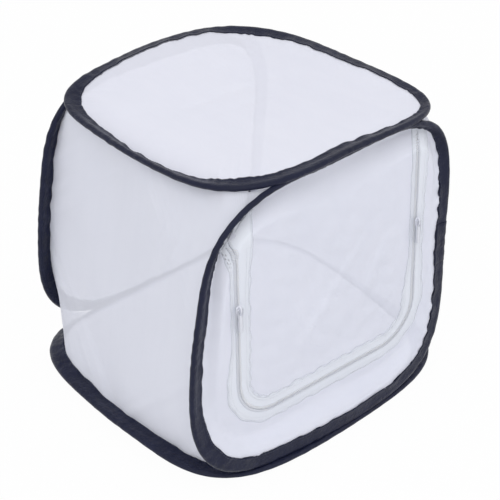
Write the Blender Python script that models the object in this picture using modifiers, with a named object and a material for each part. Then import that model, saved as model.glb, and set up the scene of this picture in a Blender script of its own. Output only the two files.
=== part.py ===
"""Pop-up insect cage: four spring-wire hoops in sewn binding, net panels, and a zipped door flap.

The hoops are the bottom, front, back and top of a soft cube. Each is a rounded square outline that
touches its neighbours only along the middle of the edge they share, where they are sewn together.
The left and right sides are plain net, held by the sides of all four hoops. The cage is relaxed, as
it stands in use: the bottom hoop spreads widest and the others stand in from its sides.

Frame: +Z up, the door faces -Y, origin at the bottom centre. All lengths are in metres.
"""

import math

import bmesh
import bpy
import numpy as np
from mathutils import Vector

# Driving sizes of the cage
WIDTH = 0.325
DEPTH = 0.296
HEIGHT = 0.288

# How far the other hoops stand in from the bottom hoop's left and right sides
TOP_LEFT_INSET = 0.0409
TOP_RIGHT_INSET = 0.0117
FRONT_LEFT_INSET = 0.0013
FRONT_RIGHT_INSET = 0.0213
BACK_LEFT_INSET = 0.0322
BACK_RIGHT_INSET = 0.0076

# Clearance between pieces that touch
GAP = 0.0003

# Outline of a hoop: a rounded square whose exponent grows as it gets squarer
SQUARENESS = 3.7
HOOP_STEPS = 40

# Binding: a tape folded over the wire, a thick bead outside and two thin lips inside
BAND_WIDTH = 0.016
BEAD_THICK = 0.0052
TAPE_WALL = 0.0007
BEAD_FLAT = 0.0026
BEAD_TAPER = 0.0038
NOSE_STEPS = 4

# Spring wire and the crimped tube that joins its two ends
WIRE_RADIUS = 0.0009
WIRE_END_GAP = 0.002
FERRULE_WALL = 0.00025
FERRULE_LENGTH = 0.012
FERRULE_STEPS = 16

# Net panels
NET_THICK = 0.0005
NET_BITE = 0.007
TOP_NET_SAG = 0.0040
SAG_RING_SHARES = (0.25, 0.5, 0.75, 0.9)

# Side nets: they leave the bindings at the lips, this far in from the hoops' outer edges. The rows
# of the grid are shares of half the side, closer together near the corners.
SIDE_NET_INSET = 0.0138
SIDE_GRID_SHARES = (0, 0.3, 0.55, 0.72, 0.84, 0.92, 0.96, 1)
SIDE_CORNER_SHARE = 0.98

# Zip: a U of two tapes, each with half of the coil along its edge, open end up
ZIP_SIDE_MARGIN = 0.0462
ZIP_BOTTOM = 0.060
ZIP_CORNER = 0.040
ZIP_END_GAP = 0.0006
ZIP_ARC_STEPS = 8
ZIP_TAPE_WIDTH = 0.0129
ZIP_TAPE_THICK = 0.0005
COIL_SPLIT = 0.0012
COIL_WIDTH = 0.0020
COIL_THICK = 0.0016
NET_CUT_BACK = 0.0042

# Door flap: the lower part of the door, which folds this far below the tips of the pulls
FLAP_BELOW_PULLS = 0.0095

# Zip slider
SLIDER_HEIGHT = 0.182
SLIDER_WIDTH = 0.0074
SLIDER_LENGTH = 0.0090
SLIDER_PLATE = 0.0008
SLIDER_POST_WIDTH = 0.0006
SLIDER_POST_LENGTH = 0.0024
SLIDER_FLANGE = 0.0008
BRIDGE_WIDTH = 0.0016
BRIDGE_LEG = 0.0010
BRIDGE_ROOM = 0.0020
BRIDGE_THICK = 0.0007
BRIDGE_LENGTH = 0.0080
OVERLAP = 0.0002

# Zip pull
PULL_THICK = 0.0010
PULL_BAR = 0.0010
PULL_PIVOT_RISE = 0.0015
PULL_WIDTH = 0.0060
PULL_TAIL_WIDTH = 0.0050
PULL_LENGTH = 0.0245
PULL_WINDOW_WIDTH = 0.0032
PULL_WINDOW_LENGTH = 0.0062
PULL_END_STEPS = 8

# Colours are linear red, green and blue
NAVY = (0.022, 0.026, 0.045)
NET_WHITE = (0.78, 0.79, 0.86)
ZIP_WHITE = (0.86, 0.87, 0.92)
STEEL = (0.55, 0.56, 0.58)
PULL_WHITE = (0.80, 0.81, 0.85)

# Sizes that follow from those above
HALF_WIDTH = WIDTH / 2
HALF_DEPTH = DEPTH / 2
HALF_BEAD = BEAD_THICK / 2
CORNER_STEP = (BEAD_THICK + GAP) / math.sqrt(2)
SLOT_HALF = NET_THICK / 2 + GAP
LIP_HALF = SLOT_HALF + TAPE_WALL
FERRULE_BORE = WIRE_RADIUS + GAP
FERRULE_RADIUS = FERRULE_BORE + FERRULE_WALL
NET_EDGE_INSET = BAND_WIDTH - NET_BITE
SIDE_NET_LIP_ROOM = HALF_BEAD + LIP_HALF + GAP + NET_THICK / 2
SIDE_NET_BEAD_ROOM = BEAD_THICK + GAP + NET_THICK / 2
COIL_NEAR = COIL_SPLIT / 2
COIL_FAR = COIL_NEAR + COIL_WIDTH
TAPE_FAR = COIL_NEAR + ZIP_TAPE_WIDTH

# Layers of the door, measured outwards from the middle of the front net
TAPE_IN = NET_THICK / 2 + GAP
TAPE_OUT = TAPE_IN + ZIP_TAPE_THICK
COIL_IN = TAPE_OUT + GAP
COIL_OUT = COIL_IN + COIL_THICK
PLATE_IN = COIL_OUT + GAP
PLATE_OUT = PLATE_IN + SLIDER_PLATE
BACK_PLATE_OUT = TAPE_IN - GAP
BACK_PLATE_IN = BACK_PLATE_OUT - SLIDER_PLATE
BRIDGE_OUT = PLATE_OUT + BRIDGE_ROOM + BRIDGE_THICK
PULL_MIDDLE = PLATE_OUT + BRIDGE_ROOM / 2

# Heights at the sliders: the bar of each pull, the tips of the pulls and the fold of the flap
PULL_PIVOT_HEIGHT = SLIDER_HEIGHT + PULL_PIVOT_RISE
PULL_TIP_HEIGHT = PULL_PIVOT_HEIGHT + PULL_BAR / 2 - PULL_LENGTH
FLAP_FOLD_HEIGHT = PULL_TIP_HEIGHT - FLAP_BELOW_PULLS

# Hoops: how far each one spans from left to right
BOTTOM_SPAN = (-HALF_WIDTH, HALF_WIDTH)
TOP_SPAN = (-HALF_WIDTH + TOP_LEFT_INSET, HALF_WIDTH - TOP_RIGHT_INSET)
FRONT_SPAN = (-HALF_WIDTH + FRONT_LEFT_INSET, HALF_WIDTH - FRONT_RIGHT_INSET)
BACK_SPAN = (-HALF_WIDTH + BACK_LEFT_INSET, HALF_WIDTH - BACK_RIGHT_INSET)
DOOR_MIDDLE = (FRONT_SPAN[0] + FRONT_SPAN[1]) / 2
ZIP_HALF_WIDTH = (FRONT_SPAN[1] - FRONT_SPAN[0]) / 2 - ZIP_SIDE_MARGIN

# Hoops: where each plane lies and how far each hoop reaches along it
BOTTOM_Z = HALF_BEAD
TOP_Z = HEIGHT - HALF_BEAD
FRONT_Y = -HALF_DEPTH + HALF_BEAD
BACK_Y = HALF_DEPTH - HALF_BEAD
BOTTOM_REACH = (-HALF_DEPTH + CORNER_STEP, HALF_DEPTH)
TOP_REACH = (-HALF_DEPTH, HALF_DEPTH - CORNER_STEP)
FRONT_REACH = (CORNER_STEP, HEIGHT - BEAD_THICK - GAP)
BACK_REACH = (BEAD_THICK + GAP, HEIGHT - CORNER_STEP)

# Fold axes, parallel to X, given as (y, z)
FRONT_FOLD = (-HALF_DEPTH + BEAD_THICK + GAP / 2, BEAD_THICK + GAP / 2)
BACK_FOLD = (BACK_Y, BOTTOM_Z)
TOP_FOLD = (HALF_DEPTH - BEAD_THICK - GAP / 2, HEIGHT - BEAD_THICK - GAP / 2)
FLAP_FOLD = (FRONT_Y - COIL_OUT, FLAP_FOLD_HEIGHT)

UPRIGHT = (math.radians(90), 0, 0)
FLAT = (0, 0, 0)


def clear_scene():
    for old in list(bpy.data.objects):
        bpy.data.objects.remove(old, do_unlink=True)


def make_collection(name):
    group = bpy.data.collections.new(name)
    bpy.context.scene.collection.children.link(group)
    return group


def make_material(name, colour, roughness, metallic=0.0):
    material = bpy.data.materials.new(name)
    material.use_nodes = True
    shader = material.node_tree.nodes["Principled BSDF"]
    shader.inputs["Base Color"].default_value = (*colour, 1)
    shader.inputs["Roughness"].default_value = roughness
    shader.inputs["Metallic"].default_value = metallic
    return material


def binding_material(name):
    return make_material(name, NAVY, 0.45)


def net_material(name):
    return make_material(name, NET_WHITE, 0.8)


def zip_material(name):
    return make_material(name, ZIP_WHITE, 0.7)


def steel_material(name):
    return make_material(name, STEEL, 0.3, 1.0)


def pull_material(name):
    return make_material(name, PULL_WHITE, 0.35, 0.2)


def make_empty(name, position, parent=None):
    """An empty on a joint's axis. It carries the pieces that turn or slide with that joint."""
    empty = bpy.data.objects.new(name, None)
    empty.empty_display_size = BAND_WIDTH
    PARTS.objects.link(empty)
    attach(empty, position, FLAT, parent)
    return empty


def world_place(thing):
    """Where an unrotated parent chain puts an object, read from the locations along the chain."""
    place = Vector(thing.location)
    while thing.parent is not None:
        thing = thing.parent
        place += thing.location
    return place


def attach(thing, position, rotation, parent):
    thing.rotation_euler = rotation
    thing.location = Vector(position)
    if parent is not None:
        thing.location = Vector(position) - world_place(parent)
        thing.parent = parent


def add_object(name, data, material, position, rotation, parent):
    data.materials.append(material(name + "_finish"))
    piece = bpy.data.objects.new(name, data)
    PARTS.objects.link(piece)
    attach(piece, position, rotation, parent)
    return piece


def shade_round(mesh):
    mesh.shade_smooth()
    mesh.set_sharp_from_angle(angle=math.radians(40))


def hoop_outline(half_u, half_v, inset):
    """Points of a rounded square with these half sizes, moved inwards along its normal by inset."""
    points = []
    for step in range(HOOP_STEPS):
        turn = 2 * math.pi * step / HOOP_STEPS
        across = math.copysign(abs(math.cos(turn)) ** (2 / SQUARENESS), math.cos(turn))
        along = math.copysign(abs(math.sin(turn)) ** (2 / SQUARENESS), math.sin(turn))
        slope_u = math.copysign(abs(across) ** (SQUARENESS - 1), across) / half_u
        slope_v = math.copysign(abs(along) ** (SQUARENESS - 1), along) / half_v
        steep = math.hypot(slope_u, slope_v)
        u = half_u * across - inset * slope_u / steep
        v = half_v * along - inset * slope_v / steep
        points.append((u, v))
    return points


def add_spline(curve, points, closed):
    spline = curve.splines.new("POLY")
    spline.points.add(len(points) - 1)
    for spot, (u, v) in zip(spline.points, points):
        spot.co = (u, v, 0, 1)
    spline.use_cyclic_u = closed


def flat_sheet(name, outlines, thickness):
    """A flat plate: the first outline is its edge, and any further ones are holes in it."""
    curve = bpy.data.curves.new(name, "CURVE")
    curve.dimensions = "2D"
    curve.fill_mode = "BOTH"
    curve.extrude = thickness / 2
    for outline in outlines:
        add_spline(curve, outline, True)
    return curve


def band_section():
    """The binding's closed section: u runs inwards from the wire, v is off the hoop's plane."""
    inner_edge = BAND_WIDTH - HALF_BEAD
    lip_start = BEAD_FLAT + BEAD_TAPER
    cavity = HALF_BEAD - TAPE_WALL
    outer = [(inner_edge, -LIP_HALF), (lip_start, -LIP_HALF), (BEAD_FLAT, -HALF_BEAD)]
    inner = [(inner_edge, SLOT_HALF), (lip_start, SLOT_HALF)]
    for step in range(NOSE_STEPS + 1):
        turn = math.pi * (1 / 2 + step / NOSE_STEPS)
        outer.append((HALF_BEAD * math.cos(turn), -HALF_BEAD * math.sin(turn)))
        inner.append((cavity * math.cos(turn), cavity * math.sin(turn)))
    outer += [(BEAD_FLAT, HALF_BEAD), (lip_start, LIP_HALF), (inner_edge, LIP_HALF)]
    inner += [(lip_start, -SLOT_HALF), (inner_edge, -SLOT_HALF)]
    return outer + inner


def make_band(name, half_u, half_v, position, rotation, parent):
    """The binding: its section swept round the hoop along the line of the wire."""
    section_curve = bpy.data.curves.new(name + "_section", "CURVE")
    section_curve.dimensions = "2D"
    add_spline(section_curve, band_section(), True)
    section = bpy.data.objects.new(name + "_section", section_curve)
    section.hide_render = True
    section.display_type = "WIRE"
    GUIDES.objects.link(section)
    path = bpy.data.curves.new(name, "CURVE")
    path.dimensions = "2D"
    path.fill_mode = "NONE"
    path.bevel_mode = "OBJECT"
    path.bevel_object = section
    add_spline(path, hoop_outline(half_u, half_v, HALF_BEAD), True)
    return add_object(name, path, binding_material, position, rotation, parent)


def make_wire(name, half_u, half_v, position, rotation, parent):
    """The spring wire: one turn round the hoop, its two ends facing each other in the ferrule."""
    ring = [Vector(point) for point in hoop_outline(half_u, half_v, HALF_BEAD)]
    first = ring[0] + (ring[1] - ring[0]).normalized() * WIRE_END_GAP / 2
    last = ring[0] + (ring[-1] - ring[0]).normalized() * WIRE_END_GAP / 2
    path = bpy.data.curves.new(name, "CURVE")
    path.dimensions = "3D"
    path.bevel_depth = WIRE_RADIUS
    path.bevel_resolution = 2
    path.use_fill_caps = True
    add_spline(path, [first, *ring[1:], last], False)
    return add_object(name, path, steel_material, position, rotation, parent)


def make_ferrule(name, half_u, position, rotation, parent):
    """The crimped tube over the wire's ends, turned about the wire at the middle of the right side."""
    mesh = bpy.data.meshes.new(name)
    half = FERRULE_LENGTH / 2
    corners = [(FERRULE_RADIUS, half), (FERRULE_RADIUS, -half), (FERRULE_BORE, -half), (FERRULE_BORE, half)]
    mesh.from_pydata([(r, h, 0) for r, h in corners], [(0, 1), (1, 2), (2, 3), (3, 0)], [])
    middle = Vector(position) + Vector((half_u - HALF_BEAD, 0, 0))
    piece = add_object(name, mesh, steel_material, middle, rotation, parent)
    turned = piece.modifiers.new("turned", "SCREW")
    turned.axis = "Y"
    turned.steps = FERRULE_STEPS
    turned.render_steps = FERRULE_STEPS
    turned.use_merge_vertices = True
    turned.merge_threshold = GAP / 10
    turned.use_smooth_shade = True
    return piece


def middle(reach):
    return (reach[0] + reach[1]) / 2


def half(reach):
    return (reach[1] - reach[0]) / 2


def make_hoop(label, span, reach, position, rotation, parent):
    """Wire, ferrule and binding of one hoop."""
    make_wire(label + "_hoop_wire", half(span), half(reach), position, rotation, parent)
    make_ferrule(label + "_wire_ferrule", half(span), position, rotation, parent)
    make_band(label + "_binding", half(span), half(reach), position, rotation, parent)


def net_outline(span, reach):
    """Edge of a net panel: it reaches into the slot between the binding's lips."""
    return hoop_outline(half(span), half(reach), NET_EDGE_INSET)


def make_plain_net(name, span, reach, position, rotation, parent):
    sheet = flat_sheet(name, [net_outline(span, reach)], NET_THICK)
    return add_object(name, sheet, net_material, position, rotation, parent)


def thicken(piece):
    thick = piece.modifiers.new("thick", "SOLIDIFY")
    thick.thickness = NET_THICK
    thick.offset = 0


def make_sagging_net(name, span, reach, sag, position, parent):
    """A level net that hangs in its hoop like a shallow dish, made of rings about its middle."""
    flat = net_outline(span, reach)
    slot = hoop_outline(half(span), half(reach), BAND_WIDTH)
    rings = [[(u * share, v * share, sag * (share**2 - 1)) for u, v in slot] for share in SAG_RING_SHARES]
    rings.append([(u, v, 0) for u, v in slot])
    rings.append([(u, v, 0) for u, v in flat])
    points = [(0, 0, -sag)] + [point for ring in rings for point in ring]
    faces = []
    for step in range(HOOP_STEPS):
        turn = (step + 1) % HOOP_STEPS
        faces.append((0, 1 + step, 1 + turn))
        for ring in range(len(rings) - 1):
            near = 1 + ring * HOOP_STEPS
            far = near + HOOP_STEPS
            faces.append((near + step, far + step, far + turn, near + turn))
    mesh = bpy.data.meshes.new(name)
    mesh.from_pydata(points, [], faces)
    shade_round(mesh)
    thicken(add_object(name, mesh, net_material, position, FLAT, parent))


def zip_end(across):
    """Height at which the zip runs up to the front binding, at this distance from the middle."""
    edge = hoop_outline(half(FRONT_SPAN), half(FRONT_REACH), BAND_WIDTH + ZIP_END_GAP)
    quarter = list(reversed(edge[: HOOP_STEPS // 4 + 1]))
    rise = np.interp(across, [u for u, v in quarter], [v for u, v in quarter])
    return middle(FRONT_REACH) + float(rise)


def zip_line(offset, top=None):
    """The zip's U moved outwards by offset, from the top of its left leg round to the right one."""
    leg = ZIP_HALF_WIDTH + offset
    if top is None:
        top = zip_end(leg)
    radius = ZIP_CORNER + offset
    centre_x = ZIP_HALF_WIDTH - ZIP_CORNER
    centre_z = ZIP_BOTTOM + ZIP_CORNER
    left = []
    for step in range(ZIP_ARC_STEPS + 1):
        turn = math.pi * (1 + step / ZIP_ARC_STEPS / 2)
        left.append((radius * math.cos(turn) - centre_x, centre_z + radius * math.sin(turn)))
    right = [(-x, z) for x, z in reversed(left)]
    return [(-leg, top), *left, *right, (leg, top)]


def front_points(outline):
    """Moves an outline given in world heights into the front hoop's own plane."""
    return [(x, z - middle(FRONT_REACH)) for x, z in outline]


def make_front_sheet(name, outlines, thickness, layer, material, parent):
    """A flat piece of the door: its middle lies at layer, outwards from the front net."""
    sheet = flat_sheet(name, [front_points(outline) for outline in outlines], thickness)
    position = (DOOR_MIDDLE, FRONT_Y - layer, middle(FRONT_REACH))
    return add_object(name, sheet, material, position, UPRIGHT, parent)


def u_band(near, far, top=None):
    """Outline of a band that follows the zip's U between two offsets from it."""
    return zip_line(far, top) + list(reversed(zip_line(near, top)))


def make_front_net(parent):
    """The front net, with the zip's slot and the flap's opening cut out of it."""
    fold = FLAP_FOLD_HEIGHT + GAP / 2
    inner = ZIP_HALF_WIDTH - NET_CUT_BACK
    top = zip_end(inner)
    hole = zip_line(NET_CUT_BACK)
    hole += [(inner, top), (inner, fold), (-inner, fold), (-inner, top)]
    edge = [(u, v + middle(FRONT_REACH)) for u, v in net_outline(FRONT_SPAN, FRONT_REACH)]
    make_front_sheet("front_net", [edge, hole], NET_THICK, 0, net_material, parent)


def make_zip_strip(name, side, near, far, thickness, layer, parent):
    """A straight piece of zip on the door side of one leg, above the flap's fold."""
    fold = FLAP_FOLD_HEIGHT + GAP / 2
    inner = ZIP_HALF_WIDTH - far
    outer = ZIP_HALF_WIDTH - near
    corners = [(inner, fold), (outer, fold), (outer, zip_end(outer)), (inner, zip_end(inner))]
    outline = [(side * across, height) for across, height in corners]
    make_front_sheet(name, [outline], thickness, layer, zip_material, parent)


def make_zip_frame(parent):
    """Everything of the zip that stays with the front hoop."""
    tape_layer = (TAPE_IN + TAPE_OUT) / 2
    coil_layer = (COIL_IN + COIL_OUT) / 2
    tape = u_band(COIL_NEAR, TAPE_FAR)
    coil = u_band(COIL_NEAR, COIL_FAR)
    make_front_sheet("zip_tape_frame", [tape], ZIP_TAPE_THICK, tape_layer, zip_material, parent)
    make_front_sheet("zip_coil_frame", [coil], COIL_THICK, coil_layer, zip_material, parent)
    for label, side in (("left", -1), ("right", 1)):
        tape_name = "zip_tape_" + label + "_upper"
        coil_name = "zip_coil_" + label + "_upper"
        make_zip_strip(tape_name, side, COIL_NEAR, TAPE_FAR, ZIP_TAPE_THICK, tape_layer, parent)
        make_zip_strip(coil_name, side, COIL_NEAR, COIL_FAR, COIL_THICK, coil_layer, parent)


def make_flap(parent):
    """The flap's net and its half of the zip, which swing outwards about the fold."""
    fold = FLAP_FOLD_HEIGHT - GAP / 2
    tape = u_band(-TAPE_FAR, -COIL_NEAR, fold)
    coil = u_band(-COIL_FAR, -COIL_NEAR, fold)
    tape_layer = (TAPE_IN + TAPE_OUT) / 2
    coil_layer = (COIL_IN + COIL_OUT) / 2
    make_front_sheet("door_flap", [zip_line(-NET_CUT_BACK, fold)], NET_THICK, 0, net_material, parent)
    make_front_sheet("zip_tape_flap", [tape], ZIP_TAPE_THICK, tape_layer, zip_material, parent)
    make_front_sheet("zip_coil_flap", [coil], COIL_THICK, coil_layer, zip_material, parent)


def add_block(cells, low, high):
    """A box between two corners, added to a mesh under construction."""
    size = Vector(high) - Vector(low)
    made = bmesh.ops.create_cube(cells, size=1)
    bmesh.ops.scale(cells, vec=size, verts=made["verts"])
    bmesh.ops.translate(cells, vec=(Vector(low) + Vector(high)) / 2, verts=made["verts"])


def block_mesh(name, boxes):
    cells = bmesh.new()
    for low, high in boxes:
        add_block(cells, low, high)
    mesh = bpy.data.meshes.new(name)
    cells.to_mesh(mesh)
    cells.free()
    return mesh


def joined_mesh(name, first, others):
    """One closed mesh: the first group of boxes, with each further group joined to it in turn."""
    base = bpy.data.objects.new(name + "_base", block_mesh(name, first))
    GUIDES.objects.link(base)
    helpers = [base]
    for number, boxes in enumerate(others):
        helper = bpy.data.objects.new(name + "_join", block_mesh(name + "_join", boxes))
        GUIDES.objects.link(helper)
        helpers.append(helper)
        union = base.modifiers.new("join_" + str(number), "BOOLEAN")
        union.operation = "UNION"
        union.solver = "EXACT"
        union.object = helper
    bpy.context.view_layer.update()
    evaluated = base.evaluated_get(bpy.context.evaluated_depsgraph_get())
    mesh = bpy.data.meshes.new_from_object(evaluated)
    mesh.name = name
    for helper in helpers:
        bpy.data.objects.remove(helper, do_unlink=True)
    return mesh


def make_slider_mesh():
    """Slider body about its own middle: local y runs inwards, so outward layers are negative."""
    half_w = SLIDER_WIDTH / 2
    half_l = SLIDER_LENGTH / 2
    half_b = BRIDGE_LENGTH / 2
    bridge_w = BRIDGE_WIDTH / 2
    bridge_in = -(BRIDGE_OUT - BRIDGE_THICK)
    front = [((-half_w, -PLATE_OUT, -half_l), (half_w, -PLATE_IN, half_l))]
    back = [((-half_w, -BACK_PLATE_OUT, -half_l), (half_w, -BACK_PLATE_IN, half_l))]
    half_pw = SLIDER_POST_WIDTH / 2
    half_pl = SLIDER_POST_LENGTH / 2
    post = [((-half_pw, -PLATE_IN - OVERLAP, -half_pl), (half_pw, -BACK_PLATE_OUT + OVERLAP, half_pl))]
    flange_in = -(TAPE_OUT + GAP)
    flanges = [
        ((-half_w, -PLATE_IN - OVERLAP, -half_l), (-half_w + SLIDER_FLANGE, flange_in, half_l)),
        ((half_w - SLIDER_FLANGE, -PLATE_IN - OVERLAP, -half_l), (half_w, flange_in, half_l)),
    ]
    arch = [((-bridge_w, -BRIDGE_OUT, -half_b), (bridge_w, bridge_in, half_b))]
    legs = [
        ((-bridge_w, bridge_in - OVERLAP, -half_b), (bridge_w, -PLATE_OUT + OVERLAP, -half_b + BRIDGE_LEG)),
        ((-bridge_w, bridge_in - OVERLAP, half_b - BRIDGE_LEG), (bridge_w, -PLATE_OUT + OVERLAP, half_b)),
    ]
    return joined_mesh("slider", front, [post, back, flanges, legs, arch])


def pull_outline():
    """Edge of the pull, hanging down from the middle of its bar: a plate with a rounded tail."""
    wide = PULL_WIDTH / 2
    tail = PULL_TAIL_WIDTH / 2
    top = PULL_BAR / 2
    tail_centre = top - PULL_LENGTH + tail
    edge = [(wide, top), (-wide, top), (-wide, top - PULL_WINDOW_LENGTH - 2 * PULL_BAR)]
    for step in range(PULL_END_STEPS + 1):
        turn = math.pi * (1 + step / PULL_END_STEPS)
        edge.append((tail * math.cos(turn), tail_centre + tail * math.sin(turn)))
    edge.append((wide, top - PULL_WINDOW_LENGTH - 2 * PULL_BAR))
    return edge


def make_pull_curve(name):
    wide = PULL_WINDOW_WIDTH / 2
    top = -PULL_BAR / 2
    window = [(-wide, top), (wide, top), (wide, top - PULL_WINDOW_LENGTH), (-wide, top - PULL_WINDOW_LENGTH)]
    return flat_sheet(name, [pull_outline(), window], PULL_THICK)


def make_slider(label, side, parent):
    """One slider and the pull that hangs from its bridge."""
    place = (DOOR_MIDDLE + side * ZIP_HALF_WIDTH, FRONT_Y, SLIDER_HEIGHT)
    axis = (place[0], FRONT_Y - PULL_MIDDLE, PULL_PIVOT_HEIGHT)
    add_object("zip_slider_" + label, make_slider_mesh(), pull_material, place, FLAT, parent)
    add_object("zip_pull_" + label, make_pull_curve("zip_pull"), pull_material, axis, UPRIGHT, parent)


def side_net_point(across, along, side):
    """A point of a side net, from its shares of the half depth and half height.

    Between the hoops' straight sides the net is taut and meets the lips of their bindings. Towards
    each corner it wraps round, so that it ends on the beads of the two neighbouring hoops, whose
    outlines turn away from each other there. Each hoop counts for more the nearer the point is to it.
    """
    turned = max(0, abs(across) + abs(along) - 1)
    bulge = (1 - turned**SQUARENESS) ** (1 / SQUARENESS)
    room = SIDE_NET_LIP_ROOM + (SIDE_NET_BEAD_ROOM - SIDE_NET_LIP_ROOM) * math.sqrt(turned)
    pulls = (
        (TOP_SPAN, (1 + along) * (1 - across**2)),
        (BOTTOM_SPAN, (1 - along) * (1 - across**2)),
        (FRONT_SPAN, (1 - across) * (1 - along**2)),
        (BACK_SPAN, (1 + across) * (1 - along**2)),
    )
    whole = sum(pull for span, pull in pulls)
    x = 0
    for span, pull in pulls:
        x += (middle(span) + side * (half(span) - SIDE_NET_INSET) * bulge) * pull / whole
    y = (HALF_DEPTH - room) * across
    z = HEIGHT / 2 + (HEIGHT / 2 - room) * along
    return Vector((x, y, z))


def make_side_net(name, side, parent):
    """A side net: a grid bent to shape, given its thickness by Solidify."""
    shares = [-share for share in reversed(SIDE_GRID_SHARES[1:])] + list(SIDE_GRID_SHARES)
    last = len(shares) - 1
    cells = bmesh.new()
    bmesh.ops.create_grid(cells, x_segments=last, y_segments=last, size=1)
    for vert in cells.verts:
        across = shares[round((vert.co.x + 1) / 2 * last)]
        along = shares[round((vert.co.y + 1) / 2 * last)]
        if abs(across) == 1 and abs(along) == 1:
            across *= SIDE_CORNER_SHARE
            along *= SIDE_CORNER_SHARE
        vert.co = side_net_point(across, along, side)
    bmesh.ops.recalc_face_normals(cells, faces=cells.faces)
    mesh = bpy.data.meshes.new(name)
    cells.to_mesh(mesh)
    cells.free()
    shade_round(mesh)
    thicken(add_object(name, mesh, net_material, (0, 0, 0), FLAT, parent))


def make_bottom():
    place = (middle(BOTTOM_SPAN), middle(BOTTOM_REACH), BOTTOM_Z)
    make_hoop("bottom", BOTTOM_SPAN, BOTTOM_REACH, place, FLAT, None)
    make_plain_net("bottom_net", BOTTOM_SPAN, BOTTOM_REACH, place, FLAT, None)
    make_side_net("left_net", -1, None)
    make_side_net("right_net", 1, None)


def make_front():
    pivot = make_empty("front_fold_axis", (0, *FRONT_FOLD))
    place = (DOOR_MIDDLE, FRONT_Y, middle(FRONT_REACH))
    make_hoop("front", FRONT_SPAN, FRONT_REACH, place, UPRIGHT, pivot)
    make_front_net(pivot)
    make_zip_frame(pivot)
    flap_axis = make_empty("flap_fold_axis", (0, *FLAP_FOLD), pivot)
    make_flap(flap_axis)
    for label, side in (("left", -1), ("right", 1)):
        across = DOOR_MIDDLE + side * ZIP_HALF_WIDTH
        rail = make_empty("slider_rail_" + label, (across, FRONT_Y, SLIDER_HEIGHT), pivot)
        make_slider(label, side, rail)


def make_back_and_top():
    back_pivot = make_empty("back_fold_axis", (0, *BACK_FOLD))
    place = (middle(BACK_SPAN), BACK_Y, middle(BACK_REACH))
    make_hoop("back", BACK_SPAN, BACK_REACH, place, UPRIGHT, back_pivot)
    make_plain_net("back_net", BACK_SPAN, BACK_REACH, place, UPRIGHT, back_pivot)
    top_pivot = make_empty("top_fold_axis", (0, *TOP_FOLD), back_pivot)
    place = (middle(TOP_SPAN), middle(TOP_REACH), TOP_Z)
    make_hoop("top", TOP_SPAN, TOP_REACH, place, FLAT, top_pivot)
    make_sagging_net("top_net", TOP_SPAN, TOP_REACH, TOP_NET_SAG, place, top_pivot)


clear_scene()
PARTS = make_collection("insect_cage")
GUIDES = make_collection("guides")
make_bottom()
make_front()
make_back_and_top()
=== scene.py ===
import bmesh
import bpy
import math
import numpy as np
from mathutils import Matrix, Vector


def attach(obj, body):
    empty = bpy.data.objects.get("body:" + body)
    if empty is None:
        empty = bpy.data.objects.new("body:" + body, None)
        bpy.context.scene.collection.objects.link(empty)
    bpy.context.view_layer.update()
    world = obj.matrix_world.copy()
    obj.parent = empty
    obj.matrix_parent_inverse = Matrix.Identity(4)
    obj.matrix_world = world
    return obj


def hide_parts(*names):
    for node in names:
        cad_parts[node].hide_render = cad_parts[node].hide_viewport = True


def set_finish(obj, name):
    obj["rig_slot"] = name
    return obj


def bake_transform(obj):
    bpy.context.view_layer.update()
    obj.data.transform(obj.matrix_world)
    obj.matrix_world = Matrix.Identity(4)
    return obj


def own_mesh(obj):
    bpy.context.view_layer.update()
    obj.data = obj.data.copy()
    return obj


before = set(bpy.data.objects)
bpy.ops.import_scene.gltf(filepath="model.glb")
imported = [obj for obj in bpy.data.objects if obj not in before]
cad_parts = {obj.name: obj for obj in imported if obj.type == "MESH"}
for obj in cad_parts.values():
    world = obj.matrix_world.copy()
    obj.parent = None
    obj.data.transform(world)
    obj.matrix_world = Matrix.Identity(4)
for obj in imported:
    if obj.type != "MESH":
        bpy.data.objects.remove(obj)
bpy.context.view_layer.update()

# All lengths are metres, in the model's own frame: +Z up, the zipped door towards -Y.

TAU = 2 * math.pi

# The relaxed hoops

LIP = .0155  # how far a binding reaches in from its hoop's outer edge
NET_IN = .0147  # where a net's edge lies between the two layers of tape
WIRE_IN = .0026  # where the middle of the spring wire lies in its binding
BACK_Y = .1454  # the back's plane; the door's lies as far the other way
DOOR_Y = -BACK_Y  # the plane in which the zip lies, and in which the door's middle is flat
ZIP_X = -.0100  # the middle between the zip's two legs
FOLD_Z = .150  # the height at which the flap folds
SPLIT_Z = .163  # what lies inside the zip is split here, just above the fold
FRONT_JOIN = (-.154, .141)  # from where to where round the door's hoop its tape's ends lap, in radians
MEAN_HALF_MM = 150  # half the width of a hoop, in the unit of its swells


def unit(v):
    return v / np.linalg.norm(v, axis=-1, keepdims=True)


def run_along(path):
    """How far along a path each of its points is."""
    return np.concatenate([[0], np.cumsum(np.linalg.norm(np.diff(path, axis=0), axis=1))])


def ring(values, t):
    """A smooth loop through evenly spaced values, at the angle t."""
    count = len(values)
    k = (t % TAU) / TAU * count
    i = np.floor(k).astype(int)
    f = k - i
    a, b, c, d = (values[(i + j) % count] for j in (-1, 0, 1, 2))
    return .5 * (2 * b + (c - a) * f + (2 * a - 5 * b + 4 * c - d) * f ** 2 + (3 * b - a - 3 * c + d) * f ** 3)


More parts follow.
